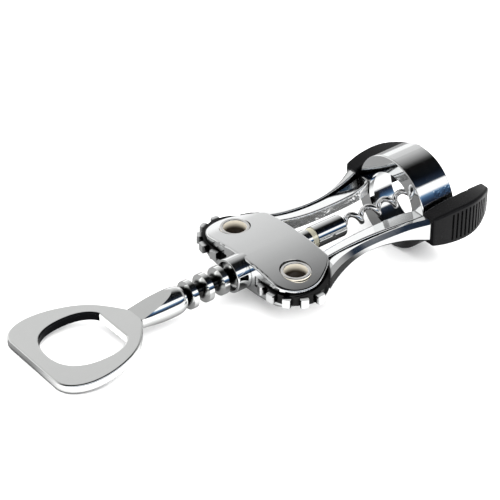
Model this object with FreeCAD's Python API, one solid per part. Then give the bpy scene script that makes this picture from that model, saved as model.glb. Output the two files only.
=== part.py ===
"""Wing corkscrew lying on its back, levers closed and spindle drawn out.

Frame of the part: X runs along the spindle from the bell towards the opener,
Y runs across the two pivots (the left lever is on +Y), Z is up, square to the
cheeks.  Every piece is drawn first in spindle coordinates, where x is the
distance from the mouth of the bell and y = z = 0 is the spindle's axis, and is
shifted when it is written, so that the origin lies under the middle of the
whole length, at the height of the lowest point of the bell.
"""
import FreeCAD, Part
import math
import os

os.makedirs("parts", exist_ok=True)

V = FreeCAD.Vector
ALONG = V(1, 0, 0)
ACROSS = V(0, 1, 0)
UP = V(0, 0, 1)
CENTRE = V(0, 0, 0)

# ---------------------------------------------------------------- clearances
RUNNING_GAP = 0.06        # radial, shaft in bore
SLIDE_GAP = 0.2           # radial, rack rings in the head's channel
SIDE_GAP = 0.3            # between flat faces of parts that move past each other
BACKLASH = 0.36           # along the pitch line, between rack and pinion
TIP_GAP = 0.2             # tooth tip to the root of its mate

# ------------------------------------------------------------ rack and pinion
RING_PITCH = 6.15
RING_THICKNESS = 3.15     # at the pitch line
TEETH_PER_TURN = 13
PRESSURE_ANGLE = math.radians(20)
PIVOT_X = 69.1            # pivot line from the bell's mouth
PIVOT_Y = 16.0            # each pivot from the spindle's axis
SHOULDER_Y = PIVOT_Y + 1.0    # half the width that the struts and arms are drawn to at the head
RING_RADIUS = 4.9
RACK_ROOT_RADIUS = 2.5
TOOTH_TIP_RADIUS = 12.9
TOOTH_WIDTH = 3.0         # of the lever's teeth, along Z
RING_COUNT = 7
FIRST_RING_X = 100.5      # the ring nearest the opener

PITCH_RADIUS = RING_PITCH * TEETH_PER_TURN / (2 * math.pi)
RACK_PITCH_LINE = PIVOT_Y - PITCH_RADIUS
TOOTH_ROOT_RADIUS = PIVOT_Y - RING_RADIUS - TIP_GAP
BASE_RADIUS = PITCH_RADIUS * math.cos(PRESSURE_ANGLE)
TOOTH_THICKNESS = RING_PITCH - RING_THICKNESS - BACKLASH

# ---------------------------------------------------------------------- bell
BELL_RADIUS = 17.0
BELL_LENGTH = 14.0
BELL_WALL = 1.7
BELL_BORE_RADIUS = BELL_RADIUS - BELL_WALL   # drops over the lip of a bottle
BELL_ROOF = 2.0           # thickness of the flat end wall
BELL_EYE_RADIUS = 11.0    # round hole in that wall, for the worm
BELL_RIM_ROUND = 0.6

# ---------------------------------------------------------------------- head
HEAD_BOTTOM_X = PIVOT_X - TOOTH_TIP_RADIUS - 1.0
HEAD_TOP_X = PIVOT_X + 10.1
HEAD_CROWN = 5.8          # half thickness on the spindle's axis
CROWN_RADIUS = 100.0      # the cheeks bulge gently across the head
CHEEK_ROUND = 0.8
HEAD_END_ROUND = 0.6
SLOT_HALF = 2.0           # half the gap between the cheeks
COLLAR_WALL = 0.8
COLLAR_RADIUS = RING_RADIUS + SLIDE_GAP + COLLAR_WALL
COLLAR_FOOT_X = HEAD_TOP_X - 1.7
COLLAR_END_X = HEAD_TOP_X + 5.3
COLLAR_LIP = 0.35

# --------------------------------------------------------------------- struts
STRUT_ROUND = 0.7
STRUT_FOOT_X = BELL_LENGTH - 1.4    # sunk into the bell's end wall
STRUT_TOP_X = HEAD_BOTTOM_X + 1.3   # sunk into the head

# --------------------------------------------------------------------- rivets
RIVET_BARREL_RADIUS = 4.5
RIVET_WALL = 0.6
RIVET_BORE_RADIUS = RIVET_BARREL_RADIUS - RIVET_WALL
RIVET_FLANGE_RADIUS = RIVET_BARREL_RADIUS + 0.6
RIVET_FLANGE_THICKNESS = 0.7
SPOT_FACE_HALF = 3.9      # half the distance between the two spot faces
SPOT_FACE_RADIUS = RIVET_FLANGE_RADIUS + 0.25

# --------------------------------------------------------------------- levers
HUB_HALF = 1.7
WAIST_GAP = 0.4           # lever to strut, levers closed
RIM_ROOM = 6.0            # the grips stay outside the bell for this far past its mouth
LOBE_GAP = 0.7            # lever's shoulder to the cheeks
LEVER_INNER_ROUND = 0.5
LEVER_BEVEL = 1.4         # along the arm's outer edges, at 45 degrees
RIGHT_CLOSED_BY = 1.2     # degrees that the right lever rests nearer to its strut
LEVER_END_X = 14.6        # where the bright lever meets the end of its grip
ARM_TOP_X = HEAD_BOTTOM_X + 5.8

# ---------------------------------------------------------------------- grips
GRIP_TIP_X = -14.0
GRIP_END_X = LEVER_END_X + 0.8
GRIP_ROUND = 1.0
GRIP_GROOVES = 11
GRIP_GROOVE_PITCH = 1.85
GRIP_GROOVE_DEPTH = 0.55
GRIP_GROOVE_WIDTH = 0.8
GRIP_GROOVE_MARGIN = 1.5  # from a groove's end to the grip's top or bottom
GRIP_FIRST_GROOVE_X = GRIP_TIP_X + 3.2
TONGUE_END_X = GRIP_TIP_X + 7.5     # the lever's tongue inside the grip
TONGUE_HALF_HEIGHT = 3.4
TONGUE_THICKNESS = 2.4
TONGUE_INNER_Y = BELL_RADIUS + WAIST_GAP + 2.3

# ------------------------------------------------------------ opener and rack
OPENER_END_X = 160.2
OPENER_HALF_WIDTH = 20.1
OPENER_HALF_THICKNESS = 1.6
OPENER_ROUND = 0.6
HOLE_EDGE_X = 130.1       # straight edge of the bottle-cap hole
HOLE_EDGE_HALF = 7.4
HOLE_END_X = 154.9
HOLE_HALF_WIDTH = 12.2
NECK_FOOT_X = FIRST_RING_X + RING_PITCH / 2
NECK_FLAT_X = 121.5       # the neck runs into the opener's faces here
NECK_END_RADIUS = 4.2
NECK_ROUND_X = 107.5      # the flats on the neck have run out here
SLEEVE_RADIUS = 3.9
SLEEVE_TOP_X = 60.0
SLEEVE_END_X = 51.0

# --------------------------------------------------------- washer and ferrule
FERRULE_RADIUS = SLEEVE_RADIUS
FERRULE_TOP_X = 48.7
FERRULE_END_X = 36.4
FERRULE_ROUND = 0.5
SPIGOT_RADIUS = 2.4
SPIGOT_DEPTH = 6.0        # length of the spigot inside the sleeve
WASHER_RADIUS = 3.7
WASHER_END_GAP = 0.1
PIN_SET_BACK = 0.05       # the pin's ends lie just below the ferrule's face

# ----------------------------------------------------------------------- worm
WORM_RADIUS = 2.9
WIRE_RADIUS = 1.0
WORM_PITCH = 7.7
WORM_TIP_X = 2.7
WORM_TIP_WIRE = 0.18
WORM_TAPER_TURNS = 0.6
SHANK_TOP_X = 46.5
SHANK_FREE_X = 36.2       # the wire starts to leave the axis here
SHANK_TURNS = 0.6
WORM_PHASE = math.radians(27)
POINTS_PER_TURN = 16
PIN_RADIUS = 0.8
PIN_X = 42.5

MIDDLE_X = (OPENER_END_X + GRIP_TIP_X) / 2
TO_PART_FRAME = V(-MIDDLE_X, 0, BELL_RADIUS)


# ------------------------------------------------------------------- helpers
def smooth(points):
    """A smooth edge through (x, y) points, drawn at z = 0."""
    curve = Part.BSplineCurve()
    curve.interpolate([V(x, y, 0) for x, y in points])
    return curve.toShape()


def lines(points):
    """Straight edges through (x, y) points, drawn at z = 0."""
    corners = [V(x, y, 0) for x, y in points]
    return [Part.makeLine(a, b) for a, b in zip(corners, corners[1:])]


def slab(edges, half_height):
    """A prism on both sides of z = 0 over the closed outline of the edges."""
    outline = Part.Wire(Part.sortEdges(edges)[0])
    face = Part.Face(outline)
    face.translate(V(0, 0, -half_height))
    return face.extrude(V(0, 0, 2 * half_height))


def rod(radius, start_x, end_x):
    """A cylinder on the spindle's axis."""
    return Part.makeCylinder(radius, end_x - start_x, V(start_x, 0, 0), ALONG)


def disc(radius, half_height, x, y):
    """A cylinder along Z, on both sides of z = 0."""
    return Part.makeCylinder(radius, 2 * half_height, V(x, y, -half_height), UP)


def turned(profile):
    """A solid of revolution about the spindle's axis from (x, radius) points."""
    corners = [V(x, radius, 0) for x, radius in profile]
    face = Part.Face(Part.makePolygon(corners + corners[:1]))
    return face.revolve(CENTRE, ALONG, 360)


def mirrored(shape):
    """The same shape on the other side of the spindle."""
    return shape.mirror(CENTRE, ACROSS)


def scaled(shares, start_x, end_x, width, end_width=None):
    """(x, y) points from shares of a length and of a width, which may change along it."""
    widening = 0 if end_width is None else end_width - width
    return [(start_x + (end_x - start_x) * along, (width + widening * along) * across)
            for along, across in shares]


def flipped(points):
    """The same (x, y) points on the other side of the spindle."""
    return [(x, -y) for x, y in points]


def bar(plan_edges, heights, reach):
    """A bar with the plan of the edges and a height that varies along X.

    heights holds (x, half height) points, and reach is a distance in Y that
    covers the whole plan.
    """
    tallest = max(half for x, half in heights)
    plan = slab(plan_edges, tallest + 1)
    top = Part.BSplineCurve()
    top.interpolate([V(x, -reach, half) for x, half in heights])
    bottom = Part.BSplineCurve()
    bottom.interpolate([V(x, -reach, -half) for x, half in reversed(heights)])
    first, last = heights[0], heights[-1]
    ends = [Part.makeLine(V(last[0], -reach, last[1]), V(last[0], -reach, -last[1])),
            Part.makeLine(V(first[0], -reach, -first[1]), V(first[0], -reach, first[1]))]
    side = Part.Face(Part.Wire([top.toShape(), ends[0], bottom.toShape(), ends[1]]))
    return plan.common(side.extrude(V(0, 2 * reach, 0)))


def rounded(shape, radius, wanted):
    """The shape with the edges that wanted(edge) picks rounded."""
    return shape.makeFillet(radius, [edge for edge in shape.Edges if wanted(edge)])


def export(name, shape):
    """Write one piece, shifted from spindle coordinates to the part's frame."""
    placed = shape.copy()
    placed.translate(TO_PART_FRAME)
    placed.exportStep("parts/" + name + ".step")


# --------------------------------------------------------------------- frame
STRUT_INNER = scaled([(0, 0.718), (0.123, 0.588), (0.282, 0.529), (0.51, 0.518), (0.738, 0.559),
                      (0.875, 0.624), (1, 0.706)], STRUT_FOOT_X, STRUT_TOP_X, BELL_RADIUS, SHOULDER_Y)
STRUT_OUTER = scaled([(0, 0.982), (0.123, 0.924), (0.282, 0.847), (0.51, 0.788), (0.738, 0.8),
                      (0.875, 0.847), (1, 0.918)], STRUT_FOOT_X, STRUT_TOP_X, BELL_RADIUS, SHOULDER_Y)
STRUT_HEIGHTS = scaled([(0, 2.9), (0.123, 2.4), (0.328, 2.1), (0.579, 2.1), (0.784, 2.4), (1, 3.4)],
                       STRUT_FOOT_X, STRUT_TOP_X, 1)
CHEEK_SIDE = scaled([(0, 0.981), (0.108, 1.188), (0.275, 1.363), (0.429, 1.481), (0.579, 1.531),
                     (0.725, 1.513), (0.871, 1.413), (0.963, 1.25), (1, 1)],
                    HEAD_BOTTOM_X, HEAD_TOP_X, PIVOT_Y)


def make_bell():
    """The bell: a short tube with a flat end wall and a round hole in it."""
    shell = rod(BELL_RADIUS, 0, BELL_LENGTH)
    shell = shell.cut(rod(BELL_BORE_RADIUS, -1, BELL_LENGTH - BELL_ROOF))
    shell = shell.cut(rod(BELL_EYE_RADIUS, 0, BELL_LENGTH + 1))
    rim_edges = [edge for edge in shell.Edges if edge.BoundBox.XMax < BELL_RIM_ROUND]
    outer_edge = [edge for edge in shell.Edges
                  if edge.BoundBox.XMin > BELL_LENGTH - 0.1 and edge.BoundBox.YMax > BELL_BORE_RADIUS]
    return shell.makeFillet(BELL_RIM_ROUND, rim_edges + outer_edge)


def make_strut():
    """One side strut, from the bell's end wall to the head."""
    ends = lines([STRUT_INNER[0], STRUT_OUTER[0]]) + lines([STRUT_INNER[-1], STRUT_OUTER[-1]])
    strut = bar([smooth(STRUT_INNER), smooth(STRUT_OUTER)] + ends, STRUT_HEIGHTS, 2 * BELL_RADIUS)
    return rounded(strut, STRUT_ROUND, lambda edge: edge.BoundBox.XLength > BELL_LENGTH)


def make_head():
    """The head: two crowned cheeks with the pinion slot between them."""
    edges = [smooth(CHEEK_SIDE), smooth(flipped(CHEEK_SIDE))]
    edges += lines([CHEEK_SIDE[0], (HEAD_BOTTOM_X, -CHEEK_SIDE[0][1])])
    edges += lines([CHEEK_SIDE[-1], (HEAD_TOP_X, -CHEEK_SIDE[-1][1])])
    block = slab(edges, HEAD_CROWN + 1)
    for side in (1, -1):
        axis_z = side * (HEAD_CROWN - CROWN_RADIUS)
        crown = Part.makeCylinder(CROWN_RADIUS, HEAD_TOP_X, V(HEAD_BOTTOM_X / 2, 0, axis_z), ALONG)
        block = block.common(crown)
    block = rounded(block, CHEEK_ROUND, lambda edge: edge.BoundBox.XLength > HEAD_CROWN)
    block = rounded(block, HEAD_END_ROUND, lambda edge: (edge.BoundBox.XLength < HEAD_END_ROUND
                                                         and edge.BoundBox.YLength > PIVOT_Y))
    collar = rod(COLLAR_RADIUS, COLLAR_FOOT_X, COLLAR_END_X)
    collar = rounded(collar, COLLAR_LIP, lambda edge: edge.BoundBox.XMin > COLLAR_END_X - COLLAR_LIP)
    return block.fuse(collar)


def cut_head(casting):
    """Cut the slot for the pinions, the rack's channel and the rivet seats."""
    swing = TOOTH_TIP_RADIUS + SIDE_GAP
    casting = casting.cut(rod(RING_RADIUS + SLIDE_GAP, HEAD_BOTTOM_X - 5, COLLAR_END_X + 1))
    for side in (1, -1):
        y = side * PIVOT_Y
        casting = casting.cut(disc(swing, SLOT_HALF, PIVOT_X, y))
        casting = casting.cut(disc(RIVET_BARREL_RADIUS, 2 * HEAD_CROWN, PIVOT_X, y))
        for face_z in (SPOT_FACE_HALF, -SPOT_FACE_HALF - HEAD_CROWN):
            seat = Part.makeCylinder(SPOT_FACE_RADIUS, HEAD_CROWN, V(PIVOT_X, y, face_z), UP)
            casting = casting.cut(seat)
    return casting


def make_frame():
    """The frame casting: bell, struts, head and collar in one piece."""
    strut = make_strut()
    casting = make_bell().fuse([strut, mirrored(strut), make_head()])
    return cut_head(casting).removeSplitter()


# --------------------------------------------------------------------- rivets
def make_rivet(y):
    """A hollow rivet with a rolled rim at both ends."""
    outer_z = SPOT_FACE_HALF + RIVET_FLANGE_THICKNESS
    barrel = disc(RIVET_BARREL_RADIUS, outer_z, PIVOT_X, y)
    for low_z in (SPOT_FACE_HALF, -outer_z):
        rim = Part.makeCylinder(RIVET_FLANGE_RADIUS, RIVET_FLANGE_THICKNESS, V(PIVOT_X, y, low_z), UP)
        barrel = barrel.fuse(rim)
    rivet = barrel.removeSplitter().cut(disc(RIVET_BORE_RADIUS, outer_z, PIVOT_X, y))
    lip = RIVET_FLANGE_THICKNESS * 0.45
    return rounded(rivet, lip, lambda edge: abs(abs(edge.CenterOfMass.z) - outer_z) < 0.01)


# --------------------------------------------------------------------- levers
ARM_OUTER = scaled([(0, 1.318), (0.063, 1.235), (0.149, 1.129), (0.278, 1.035), (0.418, 0.982),
                    (0.547, 0.982), (0.698, 1.053), (0.849, 1.194), (1, 1.406)],
                   LEVER_END_X, ARM_TOP_X, BELL_RADIUS, SHOULDER_Y)
ARM_HEIGHTS = scaled([(0, 4.6), (0.095, 3.9), (0.267, 2.8), (0.461, 2.3), (0.677, 2.6), (0.828, 3.1),
                      (1.02, 3.4)],
                     LEVER_END_X, ARM_TOP_X, 1)


def involute_angle(radius):
    """The involute function of the pressure angle at a radius."""
    pressure = math.acos(min(1.0, BASE_RADIUS / radius))
    return math.tan(pressure) - pressure


def tooth_half_angle(radius):
    """Half the angle that a pinion tooth fills at a radius."""
    at_pitch = TOOTH_THICKNESS / 2 / PITCH_RADIUS
    return at_pitch + involute_angle(PITCH_RADIUS) - involute_angle(max(radius, BASE_RADIUS))


def make_tooth(angle):
    """One tooth about the left pivot, its middle at an angle from +X."""
    radii = [TOOTH_ROOT_RADIUS - 1, BASE_RADIUS, PITCH_RADIUS - 0.5, TOOTH_TIP_RADIUS]
    rising = [(radius, angle - tooth_half_angle(radius)) for radius in radii]
    falling = [(radius, angle + tooth_half_angle(radius)) for radius in reversed(radii)]
    corners = [(PIVOT_X + radius * math.cos(a), PIVOT_Y + radius * math.sin(a))
               for radius, a in rising + falling]
    return slab(lines(corners + corners[:1]), TOOTH_WIDTH / 2)


def tooth_angles():
    """Angles of the pinion's teeth, in mesh with the rack while closed."""
    spacing = 2 * math.pi / TEETH_PER_TURN
    gap_x = FIRST_RING_X - (RING_COUNT - 1 - 0.5) * RING_PITCH
    in_mesh = -math.pi / 2 + (gap_x - PIVOT_X) / PITCH_RADIUS
    first = in_mesh - math.radians(RIGHT_CLOSED_BY) / 2
    return [first + spacing * step for step in range(-1, 8)]


def turned_about_pivot(shape, degrees):
    """The shape turned about the left pivot; less than zero opens the lever."""
    moved = shape.copy()
    moved.rotate(V(PIVOT_X, PIVOT_Y, 0), UP, degrees)
    return moved


def opened(points):
    """(x, y) points turned about the left pivot by the play between the levers."""
    turn = -math.radians(RIGHT_CLOSED_BY)
    return [(PIVOT_X + (x - PIVOT_X) * math.cos(turn) - (y - PIVOT_Y) * math.sin(turn),
             PIVOT_Y + (x - PIVOT_X) * math.sin(turn) + (y - PIVOT_Y) * math.cos(turn)) for x, y in points]


def make_lever():
    """The left lever: pinion, hub, shoulder, arm and the tongue in its grip."""
    inner = [(LEVER_END_X, STRUT_OUTER[0][1] + WAIST_GAP)]
    inner += [(x, y + WAIST_GAP) for x, y in STRUT_OUTER[1:-1]]
    inner = opened(inner)
    corner = (HEAD_BOTTOM_X, CHEEK_SIDE[0][1] + LOBE_GAP)
    beside_cheek = (CHEEK_SIDE[1][0], CHEEK_SIDE[1][1] + LOBE_GAP)
    plan = [smooth(inner + [corner]), smooth(ARM_OUTER)]
    plan += lines([inner[0], ARM_OUTER[0]])
    plan += lines([corner, beside_cheek, ARM_OUTER[-1]])
    arm = bar(plan, ARM_HEIGHTS, 2 * BELL_RADIUS)
    past_cheeks = HEAD_TOP_X - PIVOT_X + LOBE_GAP
    arm = arm.cut(disc(past_cheeks, 2 * HEAD_CROWN, PIVOT_X, PIVOT_Y))
    middle_y = (inner[3][1] + ARM_OUTER[4][1]) / 2
    arm = rounded(arm, LEVER_INNER_ROUND, lambda edge: (edge.BoundBox.XLength > BELL_LENGTH
                                                        and edge.BoundBox.YMin < middle_y))
    outer_edges = [edge for edge in arm.Edges
                   if edge.BoundBox.XLength > BELL_LENGTH and edge.BoundBox.YMin > middle_y]
    arm = arm.makeChamfer(LEVER_BEVEL, outer_edges)
    hub = disc(TOOTH_ROOT_RADIUS, HUB_HALF, PIVOT_X, PIVOT_Y)
    web = slab(lines([corner, beside_cheek, ARM_OUTER[-1], (PIVOT_X, PIVOT_Y), corner]), HUB_HALF)
    web = web.common(disc(TOOTH_TIP_RADIUS, HUB_HALF, PIVOT_X, PIVOT_Y))
    tongue = slab(tongue_plan(), TONGUE_HALF_HEIGHT)
    lever = arm.fuse([hub, web, tongue] + [make_tooth(angle) for angle in tooth_angles()])
    bore = disc(RIVET_BARREL_RADIUS + RUNNING_GAP, 2 * HUB_HALF, PIVOT_X, PIVOT_Y)
    return lever.cut(bore).removeSplitter()


# ---------------------------------------------------------------------- grips
BESIDE_BELL = (BELL_RADIUS + WAIST_GAP) / BELL_RADIUS
GRIP_INNER = scaled([(1, BESIDE_BELL), (0.782, BESIDE_BELL), (0.51, BESIDE_BELL), (0.221, 0.96), (0, 0.86)],
                    GRIP_TIP_X, GRIP_END_X, BELL_RADIUS)
GRIP_OUTER = scaled([(1, 1.37), (0.83, 1.43), (0.646, 1.462), (0.442, 1.455), (0.204, 1.325), (0, 1.094)],
                    GRIP_TIP_X, GRIP_END_X, BELL_RADIUS)
GRIP_HEIGHTS = scaled([(0, 4.4), (0.221, 6.1), (0.527, 6.9), (0.782, 6.5), (1, 5.4)],
                      GRIP_TIP_X, GRIP_END_X, 1)


def tongue_plan():
    """Outline of the lever's tongue, which the grip is moulded over."""
    outer_y = TONGUE_INNER_Y + TONGUE_THICKNESS
    corners = [(LEVER_END_X + 1, TONGUE_INNER_Y), (TONGUE_END_X, TONGUE_INNER_Y),
               (TONGUE_END_X, outer_y), (LEVER_END_X + 1, outer_y)]
    return lines(corners + corners[:1])


def grip_half_height(x):
    """Half the grip's height at x, along straight lines between the points of its side view."""
    for (low_x, low), (high_x, high) in zip(GRIP_HEIGHTS, GRIP_HEIGHTS[1:]):
        if x <= high_x:
            return low + (high - low) * (x - low_x) / (high_x - low_x)


def make_groove(curve, x):
    """A cutter for one groove across the grip's outer face."""
    nearest = curve.parameter(V(x, GRIP_OUTER[2][1], 0))
    point = curve.value(nearest)
    along = curve.tangent(nearest)[0]
    reach = 2 * GRIP_GROOVE_DEPTH
    half_height = grip_half_height(x) - GRIP_GROOVE_MARGIN
    cutter = Part.makeBox(GRIP_GROOVE_WIDTH, reach, 2 * half_height,
                          V(-GRIP_GROOVE_WIDTH / 2, -GRIP_GROOVE_DEPTH, -half_height))
    cutter.rotate(CENTRE, UP, math.degrees(math.atan(along.y / along.x)))
    cutter.translate(point)
    return cutter


def make_grip():
    """The left grip: a moulded sleeve with a ribbed thumb face."""
    plan = [smooth(GRIP_INNER), smooth(GRIP_OUTER)]
    plan += lines([GRIP_INNER[0], GRIP_OUTER[0]]) + lines([GRIP_INNER[-1], GRIP_OUTER[-1]])
    body = bar(plan, GRIP_HEIGHTS, 2 * BELL_RADIUS)
    body = body.makeFillet(GRIP_ROUND, body.Edges)
    curve = Part.BSplineCurve()
    curve.interpolate([V(x, y, 0) for x, y in GRIP_OUTER])
    for step in range(GRIP_GROOVES):
        body = body.cut(make_groove(curve, GRIP_FIRST_GROOVE_X + step * GRIP_GROOVE_PITCH))
    bell_room = rod(BELL_RADIUS + WAIST_GAP, -RIM_ROOM, GRIP_END_X + 1)
    bell_room = turned_about_pivot(bell_room, -RIGHT_CLOSED_BY)
    return body.cut([bell_room, slab(tongue_plan(), TONGUE_HALF_HEIGHT), make_lever()])


# ------------------------------------------------------------ opener and rack
OPENER_SIDE = scaled([(0, 0.194), (0.039, 0.308), (0.106, 0.478), (0.194, 0.657), (0.31, 0.806),
                      (0.439, 0.91), (0.581, 0.98), (0.724, 1), (0.855, 0.955), (0.959, 0.826), (1, 0.617)],
                     NECK_FLAT_X, OPENER_END_X, OPENER_HALF_WIDTH)
HOLE_SIDE = scaled([(0, HOLE_EDGE_HALF / HOLE_HALF_WIDTH), (0.06, 0.762), (0.198, 0.926), (0.419, 1),
                    (0.661, 0.951), (0.851, 0.77), (0.968, 0.43), (1, 0)],
                   HOLE_EDGE_X, HOLE_END_X, HOLE_HALF_WIDTH)
NECK_SIDE = scaled([(0, 0.93), (0.08, 1.08), (0.25, 1.155), (0.58, 1.12), (1, 1)],
                   NECK_FOOT_X, NECK_FLAT_X, NECK_END_RADIUS)


def make_neck():
    """The neck: a turned bulge with a flat above and below that widen to the blade."""
    start, end = NECK_SIDE[0], NECK_SIDE[-1]
    profile = [smooth(NECK_SIDE)] + lines([end, (end[0], 0), (start[0], 0), start])
    bulge = Part.Face(Part.Wire(Part.sortEdges(profile)[0])).revolve(CENTRE, ALONG, 360)
    rise = (NECK_END_RADIUS - OPENER_HALF_THICKNESS) / (NECK_FLAT_X - NECK_ROUND_X)
    foot_half = OPENER_HALF_THICKNESS + rise * 1.25 * (NECK_FLAT_X - NECK_FOOT_X)
    reach = 2 * NECK_END_RADIUS
    corners = [(start[0], -reach), (end[0], -reach), (end[0], reach), (start[0], reach)]
    plan = lines(corners + corners[:1])
    wedge = bar(plan, [(start[0], foot_half), (end[0], OPENER_HALF_THICKNESS)], 2 * reach)
    return bulge.common(wedge).Solids[0]


def rack_profile():
    """(x, radius) points of the rack's rings, from the neck to the sleeve."""
    slope = math.tan(PRESSURE_ANGLE)
    tip_half = RING_THICKNESS / 2 - (RING_RADIUS - RACK_PITCH_LINE) * slope
    root_half = RING_THICKNESS / 2 + (RACK_PITCH_LINE - RACK_ROOT_RADIUS) * slope
    points = []
    for step in range(RING_COUNT):
        x = FIRST_RING_X - step * RING_PITCH
        points += [(x + root_half, RACK_ROOT_RADIUS), (x + tip_half, RING_RADIUS),
                   (x - tip_half, RING_RADIUS), (x - root_half, RACK_ROOT_RADIUS)]
    return points


def make_opener_rack():
    """The opener handle, its neck, the rack and the sleeve, cast in one."""
    edges = [smooth(OPENER_SIDE), smooth(flipped(OPENER_SIDE))]
    for end in (OPENER_SIDE[0], OPENER_SIDE[-1]):
        edges += lines([end, (end[0], -end[1])])
    blade = slab(edges, OPENER_HALF_THICKNESS)
    hole = [smooth(HOLE_SIDE + flipped(reversed(HOLE_SIDE[:-1])))]
    hole += lines([HOLE_SIDE[0], (HOLE_EDGE_X, -HOLE_EDGE_HALF)])
    blade = blade.cut(slab(hole, 2 * OPENER_HALF_THICKNESS))
    blade = rounded(blade, OPENER_ROUND, lambda edge: (abs(edge.CenterOfMass.z) > OPENER_ROUND
                                                      and edge.CenterOfMass.x > NECK_FLAT_X + OPENER_ROUND))
    stem = [(NECK_FOOT_X + 1, 0), (NECK_FOOT_X + 1, RACK_ROOT_RADIUS)] + rack_profile()
    stem += [(SLEEVE_TOP_X, RACK_ROOT_RADIUS), (SLEEVE_TOP_X, SLEEVE_RADIUS),
             (SLEEVE_END_X, SLEEVE_RADIUS), (SLEEVE_END_X, 0)]
    handle = blade.fuse([make_neck(), turned(stem)]).removeSplitter()
    return handle.cut(rod(SPIGOT_RADIUS, SLEEVE_END_X - 1, SLEEVE_END_X + SPIGOT_DEPTH))


# --------------------------------------------------------- washer and ferrule
def make_washer():
    """The loose washer between the sleeve and the ferrule."""
    start_x = FERRULE_TOP_X + WASHER_END_GAP
    end_x = SLEEVE_END_X - WASHER_END_GAP
    bore = rod(SPIGOT_RADIUS + RUNNING_GAP, start_x - 1, end_x + 1)
    return rod(WASHER_RADIUS, start_x, end_x).cut(bore)


def make_pin():
    """The cross pin that holds the worm's shank in the ferrule."""
    half_length = FERRULE_RADIUS - PIN_SET_BACK
    return Part.makeCylinder(PIN_RADIUS, 2 * half_length, V(PIN_X, -half_length, 0), ACROSS)


def make_ferrule():
    """The ferrule below the washer, with the spigot that joins it to the rack."""
    body = rod(FERRULE_RADIUS, FERRULE_END_X, FERRULE_TOP_X)
    body = rounded(body, FERRULE_ROUND, lambda edge: edge.BoundBox.XMax < FERRULE_END_X + FERRULE_ROUND)
    body = body.fuse(rod(SPIGOT_RADIUS, FERRULE_TOP_X, SLEEVE_END_X + SPIGOT_DEPTH))
    body = body.cut(rod(WIRE_RADIUS, FERRULE_END_X - 1, SHANK_TOP_X))
    hole_start = V(PIN_X, -1.5 * FERRULE_RADIUS, 0)
    return body.cut(Part.makeCylinder(PIN_RADIUS, 3 * FERRULE_RADIUS, hole_start, ACROSS))


# ----------------------------------------------------------------------- worm
def worm_centre(x):
    """The middle of the wire at a distance x from the bell's mouth."""
    turn = (SHANK_FREE_X - x) / WORM_PITCH
    share = min(1.0, max(0.0, turn / SHANK_TURNS))
    radius = (WORM_RADIUS - WIRE_RADIUS) * share * share * (3 - 2 * share)
    angle = 2 * math.pi * turn + WORM_PHASE
    return V(x, radius * math.cos(angle), -radius * math.sin(angle))


def wire_section(point, tangent, radius):
    """The round section of the wire, square to its middle line."""
    return Part.Wire(Part.Circle(point, tangent, radius).toShape())


def make_worm():
    """The worm: a shank on the axis that winds out into a spiral with a point."""
    count = round((SHANK_FREE_X - WORM_TIP_X) / WORM_PITCH * POINTS_PER_TURN)
    step = (SHANK_FREE_X - WORM_TIP_X) / count
    spiral = Part.BSplineCurve()
    spiral.interpolate([worm_centre(SHANK_FREE_X - step * i) for i in range(count + 1)])
    start, end = spiral.FirstParameter, spiral.LastParameter
    split = spiral.parameter(worm_centre(WORM_TIP_X + WORM_TAPER_TURNS * WORM_PITCH))
    shank_end = V(SHANK_TOP_X, 0, 0)
    path = Part.Wire([Part.makeLine(shank_end, spiral.value(start)), spiral.toShape(start, split)])
    coil = path.makePipeShell([wire_section(shank_end, -ALONG, WIRE_RADIUS)], True, False)
    coil_end = min(coil.Faces, key=lambda face: (face.CenterOfMass - spiral.value(split)).Length)
    tip_path = Part.Wire(spiral.toShape(split, end))
    tip_start, tip_point = tip_path.OrderedVertexes
    tip_section = wire_section(tip_point.Point, spiral.tangent(end)[0], WORM_TIP_WIRE)
    sweep = Part.BRepOffsetAPI.MakePipeShell(tip_path)
    sweep.add(coil_end.OuterWire, tip_start, False, False)
    sweep.add(tip_section, tip_point, False, False)
    sweep.build()
    sweep.makeSolid()
    return coil.fuse(sweep.shape()).cut(make_pin())


# ---------------------------------------------------------------------- write
if __name__ == "__main__":
    export("frame_casting", make_frame())
    for name, side in (("left", 1), ("right", -1)):
        export(name + "_pivot_rivet", make_rivet(side * PIVOT_Y))
    lever, grip = make_lever(), make_grip()
    export("left_lever", lever)
    export("left_grip", grip)
    export("right_lever", mirrored(turned_about_pivot(lever, RIGHT_CLOSED_BY)))
    export("right_grip", mirrored(turned_about_pivot(grip, RIGHT_CLOSED_BY)))
    export("opener_rack", make_opener_rack())
    export("guide_washer", make_washer())
    export("worm_ferrule", make_ferrule())
    export("worm_pin", make_pin())
    export("worm", make_worm())
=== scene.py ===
"""Wing corkscrew lying on its back, levers closed, on a pale studio floor.

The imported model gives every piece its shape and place.  This script gives the
pieces their finishes, and sets the camera, the floor and the light.  Lengths
are in metres and angles in degrees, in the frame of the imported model: X along
the spindle towards the opener, Y across the two pivots, Z up.
"""
import math

import bpy
from mathutils import Matrix, Vector


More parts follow.
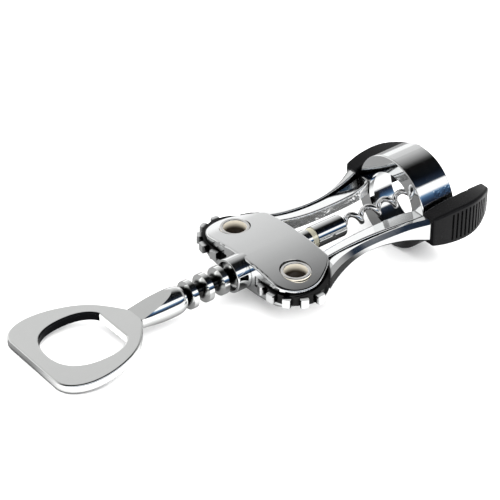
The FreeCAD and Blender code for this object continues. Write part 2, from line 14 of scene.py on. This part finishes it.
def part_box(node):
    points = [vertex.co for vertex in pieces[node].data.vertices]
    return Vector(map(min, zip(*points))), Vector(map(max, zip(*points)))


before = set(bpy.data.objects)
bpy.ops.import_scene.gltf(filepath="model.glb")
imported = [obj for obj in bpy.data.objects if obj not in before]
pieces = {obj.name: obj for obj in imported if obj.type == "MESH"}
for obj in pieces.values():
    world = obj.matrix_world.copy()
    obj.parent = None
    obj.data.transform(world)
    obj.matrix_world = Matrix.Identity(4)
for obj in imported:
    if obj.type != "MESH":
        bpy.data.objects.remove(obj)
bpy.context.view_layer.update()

# ------------------------------------------------------------------- the view
# A long lens looks down on the tool from the left lever's side, with the
# opener nearest to it.  The camera is placed from the point it looks at.
LOOK_AT = Vector((-0.00357, -0.00729, 0.0170))
TOWARDS_CAMERA = Vector((0.508, 0.644, 0.5716)).normalized()
CAMERA_DISTANCE = 0.6873
LENS = 149.4                        # millimetres, as is the sensor
SENSOR = 36.0
NEAREST_SEEN = 0.01

camera_data = bpy.data.cameras.new("camera")
camera_data.lens = LENS
camera_data.sensor_width = SENSOR
camera_data.clip_start = NEAREST_SEEN
camera = bpy.data.objects.new("camera", camera_data)
bpy.context.scene.collection.objects.link(camera)
sideways = Vector((0, 0, 1)).cross(TOWARDS_CAMERA).normalized()
upwards = TOWARDS_CAMERA.cross(sideways)
turned = Matrix((sideways, upwards, TOWARDS_CAMERA)).transposed().to_4x4()
camera.matrix_world = Matrix.Translation(LOOK_AT + CAMERA_DISTANCE * TOWARDS_CAMERA) @ turned
bpy.context.scene.camera = camera
bpy.context.scene.view_settings.view_transform = "Standard"

# ------------------------------------------------------------------ the floor
# A plain pale sheet.  The tool rests on the edge of its bell and on the end of
# its opener, so the sheet runs through those two lowest lines.
BELL_LENGTH = 0.014
OPENER_HALF_THICKNESS = 0.0016
FLOOR_SIZE = 6.0
FLOOR_WHITE = 0.93
FLOOR_ROUGHNESS = 0.9

# Polished metal sees a painted floor tone, not the floor's lit colour: painted
# light in front of the tool, painted shade behind it, and a painted shade oval below the head.
FLOOR_BEHIND, FLOOR_BRIGHT = 0.16, 0.55
BEHIND_Y, FRONT_Y = -0.004, 0.016
SHADE_MIDDLE = (-0.030, 0.014)      # X and Y
SHADE_REACH = (0.046, 0.020)
SHADE_EDGE = (0.7, 1.15)            # where it thins out, in reaches from the middle
SHADE_TONE = 0.08


def rgba(colour):
    """A colour, or a grey given as one number, with its alpha."""
    return (*colour, 1) if isinstance(colour, tuple) else (colour, colour, colour, 1)


def feed(entry, value):
    """Give an input a number, a colour or another node's output."""
    if isinstance(value, bpy.types.NodeSocket):
        entry.id_data.links.new(value, entry)
    else:
        entry.default_value = rgba(value) if entry.type == "RGBA" else value


def add(tree, kind, inputs=None, **properties):
    """A node with its properties set, and its inputs fed by name or number."""
    node = tree.nodes.new(kind)
    for name, value in properties.items():
        setattr(node, name, value)
    for entry, value in (inputs or {}).items():
        feed(node.inputs[entry], value)
    return node


def calculate(tree, operation, *values):
    """The result of a Math node."""
    return add(tree, "ShaderNodeMath", dict(enumerate(values)), operation=operation).outputs[0]


def fade(tree, value, low, high, at_low=0.0, at_high=1.0, curve="SMOOTHSTEP"):
    """One level up to the low place, another from the high place on, blended between."""
    inputs = {"Value": value, "From Min": low, "From Max": high,
              "To Min": at_low, "To Max": at_high}
    return add(tree, "ShaderNodeMapRange", inputs, interpolation_type=curve).outputs[0]


def split(tree, vector):
    """The X, Y and Z of a vector."""
    return tuple(add(tree, "ShaderNodeSeparateXYZ", {0: vector}).outputs)


def own_place(tree):
    """The place on the surface, in the piece's own frame."""
    return add(tree, "ShaderNodeTexCoord").outputs["Object"]


def distance(tree, ways, reaches=(1.0, 1.0)):
    """Distance in two ways, each a coordinate and its middle, counted in reaches."""
    squares = []
    for (value, middle), reach in zip(ways, reaches):
        away = calculate(tree, "DIVIDE", calculate(tree, "SUBTRACT", value, middle), reach)
        squares.append(calculate(tree, "MULTIPLY", away, away))
    return calculate(tree, "SQRT", calculate(tree, "ADD", *squares))


# A Mix node's share, its two sides and its result, for numbers and for colours.
MIX_SOCKETS = {"FLOAT": ((0, 2, 3), 0), "RGBA": ((0, 6, 7), 2)}


def mix(tree, share, first, second, blend="MIX", kind="RGBA"):
    """The first value, with a share of the second mixed or multiplied in."""
    node = add(tree, "ShaderNodeMix", data_type=kind, blend_type=blend)
    entries, result = MIX_SOCKETS[kind]
    for entry, value in zip(entries, (share, first, second)):
        feed(node.inputs[entry], value)
    return node.outputs[result]


def new_material(name):
    """An empty material with its node tree and its Principled shader."""
    material = bpy.data.materials.new(name)
    material.use_nodes = True
    return material, material.node_tree, material.node_tree.nodes["Principled BSDF"]


bell_low, bell_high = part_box("frame_casting")
_, opener_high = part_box("opener_rack")
axis_height = (bell_low.z + bell_high.z) / 2
bell_edge = Vector((bell_low.x + BELL_LENGTH, 0, bell_low.z))
opener_edge = Vector((opener_high.x, 0, axis_height - OPENER_HALF_THICKNESS))
lean = math.atan2(opener_edge.z - bell_edge.z, opener_edge.x - bell_edge.x)

floor_mesh = bpy.data.meshes.new("floor")
half = FLOOR_SIZE / 2
corners = [(-half, -half, 0), (half, -half, 0), (half, half, 0), (-half, half, 0)]
floor_mesh.from_pydata(corners, [], [(0, 1, 2, 3)])
floor = bpy.data.objects.new("floor", floor_mesh)
bpy.context.scene.collection.objects.link(floor)
floor.matrix_world = Matrix.Translation(bell_edge) @ Matrix.Rotation(-lean, 4, "Y")

floor_paint, tree, shader = new_material("floor_paint")
x, y, _ = split(tree, own_place(tree))      # counted from the edge of the bell
from_shade = distance(
    tree, ((x, SHADE_MIDDLE[0] - bell_edge.x), (y, SHADE_MIDDLE[1])), SHADE_REACH)
shade = fade(tree, from_shade, *SHADE_EDGE, SHADE_TONE, 1.0)
forward = fade(tree, y, BEHIND_Y, FRONT_Y, FLOOR_BEHIND, FLOOR_BRIGHT)
# Reflections see this painted light and shade; the camera sees the even white floor.
mirrored = calculate(tree, "MULTIPLY", shade, forward)
in_metal = add(tree, "ShaderNodeLightPath").outputs["Is Glossy Ray"]
tone = mix(tree, in_metal, FLOOR_WHITE, mirrored, kind="FLOAT")
feed(shader.inputs["Base Color"], tone)
shader.inputs["Roughness"].default_value = FLOOR_ROUGHNESS
shader.inputs["Specular IOR Level"].default_value = 0.0
floor.data.materials.append(floor_paint)

# ------------------------------------------------------------------ the light
# An even white tent and one soft key lamp, which metal doesn't mirror.  Metal
# sees the tent's panels instead: each runs along X and fills a span of angle
# about X, counted from the front horizon upwards.
TENT_WHITE = 2.5
PANELS = [
    (-180, 0.70), (-120, 0.60), (-60, 0.85), (-2, 0.9),         # below the horizon
    (1, (0.012, 0.016, 0.03)), (8, (0.015, 0.025, 0.05)),       # a dark edge that turns blue
    (18, (0.05, 0.11, 0.22)), (24, (0.20, 0.34, 0.52)),
    (28, 1.15), (44, 1.15),                                     # a white strip in front
    (47, (0.02, 0.032, 0.055)), (55, (0.008, 0.014, 0.028)),    # a dark gap for the lens
    (66, (0.001, 0.002, 0.004)), (97, 0.003),
    (104, 0.06), (114, 0.24), (126, 0.42), (138, 0.62),         # a grey wall behind
    (148, 0.70), (159, 0.76), (163, 1.1)]
END_PANEL = 0.42                    # closes the tent at either end of X
END_FROM, END_TO = 0.8, 0.95        # how far a direction points along X
KEY_SIZE = 0.5
KEY_POWER = 1.0
KEY_PLACE = Vector((-0.25, -0.35, 0.75))


def ramp(tree, value, stops):
    """A colour ramp over (place, grey or colour) stops."""
    node = add(tree, "ShaderNodeValToRGB", {0: value})
    elements = node.color_ramp.elements
    while len(elements) < len(stops):
        elements.new(0.5)
    for element, (place, _) in zip(elements, stops):
        element.position = place
    for element, (_, colour) in zip(elements, stops):
        element.color = rgba(colour)
    return node.outputs[0]


world = bpy.data.worlds.new("tent")
world.use_nodes = True
bpy.context.scene.world = world
tree = world.node_tree
x, y, z = split(tree, add(tree, "ShaderNodeTexCoord").outputs["Generated"])
turn = calculate(tree, "ARCTAN2", z, y)
share = calculate(tree, "MULTIPLY_ADD", turn, 0.5 / math.pi, 0.5)       # of a full turn
panels = ramp(tree, share, [((angle + 180) / 360, colour) for angle, colour in PANELS])
at_end = fade(tree, calculate(tree, "ABSOLUTE", x), END_FROM, END_TO)
in_metal = add(tree, "ShaderNodeLightPath").outputs["Is Glossy Ray"]
tent = mix(tree, in_metal, TENT_WHITE, mix(tree, at_end, panels, END_PANEL))
feed(tree.nodes["Background"].inputs["Color"], tent)

key_data = bpy.data.lights.new("key", "AREA")
key_data.size = KEY_SIZE
key_data.energy = KEY_POWER
key = bpy.data.objects.new("key", key_data)
bpy.context.scene.collection.objects.link(key)
key.location = KEY_PLACE
key.rotation_euler = (LOOK_AT - KEY_PLACE).to_track_quat("-Z", "Y").to_euler()
key.visible_glossy = False

# ---------------------------------------------------------- the frame casting
# Bell, struts, head and collar: one zinc die casting, polished and chrome
# plated.  Wear from polishing leaves fine marks and a faint haze in the plate.
CHROME = (0.90, 0.91, 0.91)
CASTING_ROUGHNESS = (0.03, 0.10)    # where the plate is clear, and where it is hazed
MARKS_SCALE = 900.0
MARKS_STRETCH = (1.0, 0.06, 1.0)    # they run along Y
MARKS_DETAIL = 3.0
MARKS_DEPTH = 0.0001
MARKS_STRENGTH = 0.02
HAZE_SCALE = 60.0
HAZE_DETAIL = 5.0
HAZE_BREAKUP = 0.6
HAZE_RANGE = (0.3, 0.75)            # of the haze's noise, from clear to hazed
HAZE_TONE = 0.93                    # of the plate's colour
CREASE_REACH = 0.0012               # how near the other side of a crease is
CREASE_SHADE_RAMP = [(0.25, 0.12), (0.75, 1.0)]      # how open a place is, and its share of colour
OPENNESS_SAMPLES = 8


def new_group(name, inputs, outputs):
    """A shader node group with these sockets, and the ends of its two end nodes."""
    group = bpy.data.node_groups.new(name, "ShaderNodeTree")
    for way, sockets in (("INPUT", inputs), ("OUTPUT", outputs)):
        for label, kind in sockets.items():
            group.interface.new_socket(label, in_out=way, socket_type="NodeSocket" + kind)
    return group, add(group, "NodeGroupInput").outputs, add(group, "NodeGroupOutput").inputs


def noise(tree, place, scale, detail, breakup=0.5):
    """A cloudy pattern."""
    inputs = {"Vector": place, "Scale": scale, "Detail": detail, "Roughness": breakup}
    return add(tree, "ShaderNodeTexNoise", inputs).outputs[0]


def openness(tree, reach):
    """1 in the open, and less the more the surface closes in on itself."""
    node = add(tree, "ShaderNodeAmbientOcclusion", {"Distance": reach}, samples=OPENNESS_SAMPLES)
    return node.outputs["AO"]


def use(tree, group, **inputs):
    """This group placed in a material with its own values, as its outputs."""
    return add(tree, "ShaderNodeGroup", inputs, node_tree=group).outputs


def repaint(shader, colour):
    """Give the shader another base colour."""
    feed(shader.inputs["Base Color"], colour)


def painted(shader):
    """The base colour that the shader has so far."""
    return shader.inputs["Base Color"].links[0].from_socket


# Two masks: the polishing marks and the haze of handling.
polishing_marks, entry, leave = new_group(
    "polishing_marks", {"Place": "Vector", "Fineness": "Float", "Patches": "Float"},
    {"Lines": "Float", "Haze": "Float"})
stretched = add(polishing_marks, "ShaderNodeVectorMath",
                {0: entry["Place"], 1: MARKS_STRETCH}, operation="MULTIPLY")
feed(leave["Lines"],
     noise(polishing_marks, stretched.outputs[0], entry["Fineness"], MARKS_DETAIL))
feed(leave["Haze"],
     noise(polishing_marks, entry["Place"], entry["Patches"], HAZE_DETAIL, HAZE_BREAKUP))

# Painted shade: the colour darkened in creases, where the surface closes in on itself.
painted_crease_shade, entry, leave = new_group(
    "painted_crease_shade", {"Colour": "Color", "Reach": "Float"}, {"Colour": "Color"})
crease_shade = ramp(painted_crease_shade, openness(painted_crease_shade, entry["Reach"]), CREASE_SHADE_RAMP)
feed(leave["Colour"], mix(painted_crease_shade, 1.0, entry["Colour"], crease_shade, "MULTIPLY"))


def plated(name, colour, roughness):
    """Bright plate with its polishing marks, clear in places and hazed in others."""
    material, tree, shader = new_material(name)
    marks = use(tree, polishing_marks, Place=own_place(tree), Fineness=MARKS_SCALE,
                Patches=HAZE_SCALE)
    hazed = fade(tree, marks["Haze"], *HAZE_RANGE, *roughness, "LINEAR")
    feed(shader.inputs["Roughness"], hazed)
    hazed_colour = tuple(HAZE_TONE * part for part in colour)
    repaint(shader, mix(tree, marks["Haze"], colour, hazed_colour))
    scratched = add(tree, "ShaderNodeBump", {
        "Strength": MARKS_STRENGTH, "Distance": MARKS_DEPTH, "Height": marks["Lines"]})
    scratched.name = "marks"
    feed(shader.inputs["Normal"], scratched.outputs[0])
    shader.inputs["Metallic"].default_value = 1.0
    return material, tree, shader


def paint_crease_shade(tree, shader):
    """Paint crease shade over the shader's colour."""
    shaded = use(tree, painted_crease_shade, Colour=painted(shader), Reach=CREASE_REACH)
    repaint(shader, shaded["Colour"])


def shape_plate(tree, normal):
    """Lay the polishing marks over this normal."""
    feed(tree.nodes["marks"].inputs["Normal"], normal)


def finish_with(material, *nodes):
    """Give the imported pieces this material."""
    for name in nodes:
        pieces[name].material_slots[0].material = material


def between(tree, value, low, high):
    """1 where the value lies between two places, else 0."""
    return calculate(tree, "MULTIPLY", calculate(tree, "GREATER_THAN", value, low),
                     calculate(tree, "LESS_THAN", value, high))


# Polishing leaves the narrow flat tops of the struts leaning back a little, and
# doesn't reach their inner sides, which stay rippled from the mould.  The plate
# is finely pitted in one patch beside the bell's mouth.
STRUTS_X = (-0.0588, -0.0176)
LEAN_Y = -0.24                      # added to the normal of a flat top
FLAT_TOP = (0.88, 0.96)             # how far a face looks up, from none to all of the lean
INNER_SIDE = -0.85                  # how far it looks inwards
RIPPLE_SCALE = 230.0
RIPPLE_DETAIL = 3.5
RIPPLE_DEPTH = 0.0011
SATIN_SHARE = 0.14                  # of the light that the unpolished sides scatter
PITTED_X = (-0.0735, -0.0652)
PITTED_Z = (0.0222, 0.0262)
PITTED_STRENGTH = 0.4

# A normal that leans along the piece's own Y where a face looks up.
leaning_tops, entry, leave = new_group(
    "leaning_tops", {"Where": "Float", "Lean": "Float"}, {"Normal": "Vector"})
facing = add(leaning_tops, "ShaderNodeNewGeometry").outputs["Normal"]
flat = fade(leaning_tops, split(leaning_tops, facing)[2], *FLAT_TOP)
flat_here = calculate(leaning_tops, "MULTIPLY", flat, entry["Where"])
push = add(leaning_tops, "ShaderNodeCombineXYZ", {
    "Y": calculate(leaning_tops, "MULTIPLY", flat_here, entry["Lean"])})
posed = add(leaning_tops, "ShaderNodeVectorTransform", {0: push.outputs[0]},
            vector_type="VECTOR", convert_from="OBJECT", convert_to="WORLD")
pushed = add(leaning_tops, "ShaderNodeVectorMath", {0: facing, 1: posed.outputs[0]},
             operation="ADD")
unit = add(leaning_tops, "ShaderNodeVectorMath", {0: pushed.outputs[0]}, operation="NORMALIZE")
feed(leave["Normal"], unit.outputs[0])

casting_chrome, tree, shader = plated("casting_chrome", CHROME, CASTING_ROUGHNESS)
# Painted shade in the creases.
paint_crease_shade(tree, shader)
place = own_place(tree)
x, y, z = split(tree, place)
on_strut = between(tree, x, *STRUTS_X)
facing = add(tree, "ShaderNodeNewGeometry").outputs["Normal"]
inwards = calculate(tree, "MULTIPLY", split(tree, facing)[1], calculate(tree, "SIGN", y))
unpolished = calculate(tree, "MULTIPLY", on_strut,
                       calculate(tree, "LESS_THAN", inwards, INNER_SIDE))
scattered = calculate(tree, "MULTIPLY", unpolished, SATIN_SHARE)
feed(shader.inputs["Metallic"], calculate(tree, "SUBTRACT", 1.0, scattered))
pitted = calculate(tree, "MULTIPLY", between(tree, x, *PITTED_X), between(tree, z, *PITTED_Z))
pitted = calculate(tree, "MULTIPLY", pitted, PITTED_STRENGTH)
rippled = add(tree, "ShaderNodeBump", {
    "Strength": calculate(tree, "ADD", unpolished, pitted),
    "Distance": RIPPLE_DEPTH,
    "Height": noise(tree, place, RIPPLE_SCALE, RIPPLE_DETAIL),
    "Normal": use(tree, leaning_tops, Where=on_strut, Lean=LEAN_Y)["Normal"]})
shape_plate(tree, rippled.outputs[0])
finish_with(casting_chrome, "frame_casting")

# ----------------------------------------------------------------- the levers
# Zinc castings plated like the frame, each with a toothed end that the rack
# turns.  Painted shade blackens the gaps between the teeth.
LEVER_ROUGHNESS = (0.02, 0.06)
PIVOT = Vector((-0.004, 0.016))               # X, and Y on either side
TOOTH_ROOT, TOOTH_UNSHADED = 0.0110, 0.0121      # radii between which the painted shade thins out
TEETH_END = 0.0131
TOOTH_REACH = 0.004
ROOT_SHADE_RAMP = [(0.5, 0.03), (0.68, 0.35), (0.86, 1.0)]      # as for the painted crease shade
ROOT_SHADE_LEFT = 0.03                  # share of the colour at the root

# Painted shade darkens closed places, and all that lies nearer to an axis than
# the black radius.  It thins out up to the unshaded one.
painted_root_shade, entry, leave = new_group(
    "painted_root_shade", {"Colour": "Color", "Reach": "Float", "Radius": "Float", "Black": "Float",
                   "Clean": "Float", "Where": "Float"}, {"Colour": "Color"})
closed_shade = ramp(painted_root_shade, openness(painted_root_shade, entry["Reach"]), ROOT_SHADE_RAMP)
closed_shade = mix(painted_root_shade, 1.0, entry["Colour"], closed_shade, "MULTIPLY")
axis_shade = fade(painted_root_shade, entry["Radius"], entry["Black"], entry["Clean"], ROOT_SHADE_LEFT)
feed(leave["Colour"], mix(painted_root_shade, entry["Where"], closed_shade, axis_shade, "MULTIPLY"))

lever_chrome, tree, shader = plated("lever_chrome", CHROME, LEVER_ROUGHNESS)
x, y, _ = split(tree, own_place(tree))
from_pivot = distance(tree, ((x, PIVOT.x), (calculate(tree, "ABSOLUTE", y), PIVOT.y)))
# Painted shade between the teeth.
root_shaded = use(tree, painted_root_shade, Colour=painted(shader), Reach=TOOTH_REACH, Radius=from_pivot,
             Black=TOOTH_ROOT, Clean=TOOTH_UNSHADED, Where=1.0)
repaint(shader, root_shaded["Colour"])
past_teeth = calculate(tree, "GREATER_THAN", from_pivot, TEETH_END)
shape_plate(tree, use(tree, leaning_tops, Where=past_teeth, Lean=LEAN_Y)["Normal"])
finish_with(lever_chrome, "left_lever", "right_lever")

# ----------------------------------------------------------------- the rivets
# Hollow steel rivets, plated outside, that hold the levers between the head's
# cheeks.  The bore is left dull and warm, with painted shade darkening it with depth.
RIVET_CHROME = (0.90, 0.89, 0.87)
RIVET_ROUGHNESS = (0.05, 0.12)
BORE_CREAM = (0.66, 0.61, 0.51)
BORE_SHADE = (0.028, 0.022, 0.016)
BORE_DEEP, BORE_TOP = 0.0183, 0.0209      # heights
STEEP = 0.3                         # how far a wall may look up or down

rivet_chrome, tree, shader = plated("rivet_chrome", RIVET_CHROME, RIVET_ROUGHNESS)
# Painted shade in the creases.
paint_crease_shade(tree, shader)
facing = add(tree, "ShaderNodeNewGeometry").outputs
tilt = calculate(tree, "ABSOLUTE", split(tree, facing["True Normal"])[2])
wall = calculate(tree, "LESS_THAN", tilt, STEEP)
# Painted shade: the bore darker towards the bottom.
depth = fade(tree, split(tree, facing["Position"])[2], BORE_DEEP, BORE_TOP)
bore_shaded = ramp(tree, depth, [(0.0, BORE_SHADE), (1.0, BORE_CREAM)])
repaint(shader, mix(tree, wall, painted(shader), bore_shaded))
feed(shader.inputs["Metallic"], calculate(tree, "SUBTRACT", 1.0, wall))
finish_with(rivet_chrome, "left_pivot_rivet", "right_pivot_rivet")

# ------------------------------------------------------------------ the grips
# Black plastic with a fine spark grain, moulded with ribs on the outer face
# and pushed over the lever's tongue.  Hands have rubbed it smoother in places.
GRAIN_SCALE = 2600.0
GRAIN_DETAIL = 2.0
GRAIN_DEPTH = 0.0001
GRAIN_STRENGTH = 0.15
RUB_SCALE = 90.0
RUB_DETAIL = 4.0
RUB_RANGE = (0.3, 0.7)
GRIP_BLACK = ((0.0022, 0.0022, 0.0025), (0.004, 0.004, 0.0044))
GRIP_ROUGHNESS = (0.2, 0.32)
GRIP_SPECULAR = 0.13

grip_plastic, tree, shader = new_material("grip_plastic")
place = own_place(tree)
grained = add(tree, "ShaderNodeBump", {
    "Strength": GRAIN_STRENGTH, "Distance": GRAIN_DEPTH,
    "Height": noise(tree, place, GRAIN_SCALE, GRAIN_DETAIL)})
feed(shader.inputs["Normal"], grained.outputs[0])
rub = noise(tree, place, RUB_SCALE, RUB_DETAIL)
feed(shader.inputs["Roughness"], fade(tree, rub, *RUB_RANGE, *GRIP_ROUGHNESS, "LINEAR"))
repaint(shader, ramp(tree, rub, list(zip(RUB_RANGE, GRIP_BLACK))))
shader.inputs["Specular IOR Level"].default_value = GRIP_SPECULAR
finish_with(grip_plastic, "left_grip", "right_grip")

# ------------------------------------------------------------ opener and rack
# The handle: opener, neck, ringed rack and sleeve in one plated casting.  The
# same painted shade lies between the rings.
OPENER_CHROME = (0.97, 0.98, 0.97)
OPENER_ROUGHNESS = (0.05, 0.12)
RINGS_END_X = 0.0296
RING_ROOT, RING_UNSHADED = 0.0027, 0.0036
RING_REACH = 0.0018

opener_chrome, tree, shader = plated("opener_chrome", OPENER_CHROME, OPENER_ROUGHNESS)
x, y, z = split(tree, own_place(tree))
# Painted shade between the rings.
root_shaded = use(tree, painted_root_shade, Colour=painted(shader), Reach=RING_REACH,
             Radius=distance(tree, ((y, 0.0), (z, axis_height))),
             Black=RING_ROOT, Clean=RING_UNSHADED,
             Where=calculate(tree, "LESS_THAN", x, RINGS_END_X))
repaint(shader, root_shaded["Colour"])

# In the hole, the far wall is painted black as painted shade, and the straight
# one is painted a bright satin white as a painted highlight.
HOLE_X = (0.0560, 0.0830)
HOLE_Y = (-0.0130, 0.0130)
FAR_WALL_SHADE = (0.02, 0.02, 0.022)
STRAIGHT_WALL_HIGHLIGHT = (0.93, 0.93, 0.92)
FAR_WALL, STRAIGHT_WALL = 0.3, 0.9  # how far they look along Y, and along X

facing = add(tree, "ShaderNodeNewGeometry").outputs["True Normal"]
at_rest = add(tree, "ShaderNodeVectorTransform", {0: facing},
              vector_type="NORMAL", convert_from="WORLD", convert_to="OBJECT")
along, across, _ = split(tree, at_rest.outputs[0])
in_hole = calculate(tree, "MULTIPLY", between(tree, x, *HOLE_X), between(tree, y, *HOLE_Y))
far_wall_shaded = calculate(tree, "MULTIPLY", in_hole, calculate(tree, "GREATER_THAN", across, FAR_WALL))
straight_wall_lit = calculate(tree, "MULTIPLY", in_hole, calculate(tree, "GREATER_THAN", along, STRAIGHT_WALL))
repaint(shader, mix(tree, far_wall_shaded, painted(shader), FAR_WALL_SHADE))
repaint(shader, mix(tree, straight_wall_lit, painted(shader), STRAIGHT_WALL_HIGHLIGHT))
feed(shader.inputs["Metallic"], calculate(tree, "SUBTRACT", 1.0, straight_wall_lit))
finish_with(opener_chrome, "opener_rack")

# ----------------------------------------------------------------- the washer
# A thin olive moulding with a pearly sheen, clamped between the rack's sleeve
# and the ferrule.
WASHER_OLIVE = ((0.58, 0.55, 0.42), (0.68, 0.65, 0.52))
CLOUD_SCALE = 400.0
CLOUD_DETAIL = 2.0
CLOUD_RANGE = (0.3, 0.7)
WASHER_ROUGHNESS = 0.25
WASHER_METALLIC = 0.7

washer_nylon, tree, shader = new_material("washer_nylon")
cloud = noise(tree, own_place(tree), CLOUD_SCALE, CLOUD_DETAIL)
repaint(shader, ramp(tree, cloud, list(zip(CLOUD_RANGE, WASHER_OLIVE))))
shader.inputs["Roughness"].default_value = WASHER_ROUGHNESS
shader.inputs["Metallic"].default_value = WASHER_METALLIC
finish_with(washer_nylon, "guide_washer")

# -------------------------------------------------------- the ferrule and pin
# A turned steel barrel that holds the worm's shank, and the pin driven across
# both.  They are plated together.
FERRULE_ROUGHNESS = (0.03, 0.08)

ferrule_chrome, tree, shader = plated("ferrule_chrome", CHROME, FERRULE_ROUGHNESS)
# Painted shade in the creases.
paint_crease_shade(tree, shader)
finish_with(ferrule_chrome, "worm_ferrule", "worm_pin")

# ------------------------------------------------------------------- the worm
# Hard drawn wire wound to a right-hand spiral, ground to a point and plated.
# The wire is left a little dimpled by the winding.
WORM_CHROME = (0.97, 0.97, 0.97)
WORM_ROUGHNESS = (0.01, 0.04)
DIMPLE_SCALE = 420.0
DIMPLE_DETAIL = 1.0
DIMPLE_DEPTH = 0.0004

worm_steel, tree, shader = plated("worm_steel", WORM_CHROME, WORM_ROUGHNESS)
# Painted shade in the creases.
paint_crease_shade(tree, shader)
dimpled = add(tree, "ShaderNodeBump", {
    "Strength": 1.0, "Distance": DIMPLE_DEPTH,
    "Height": noise(tree, own_place(tree), DIMPLE_SCALE, DIMPLE_DETAIL)})
shape_plate(tree, dimpled.outputs[0])
finish_with(worm_steel, "worm")
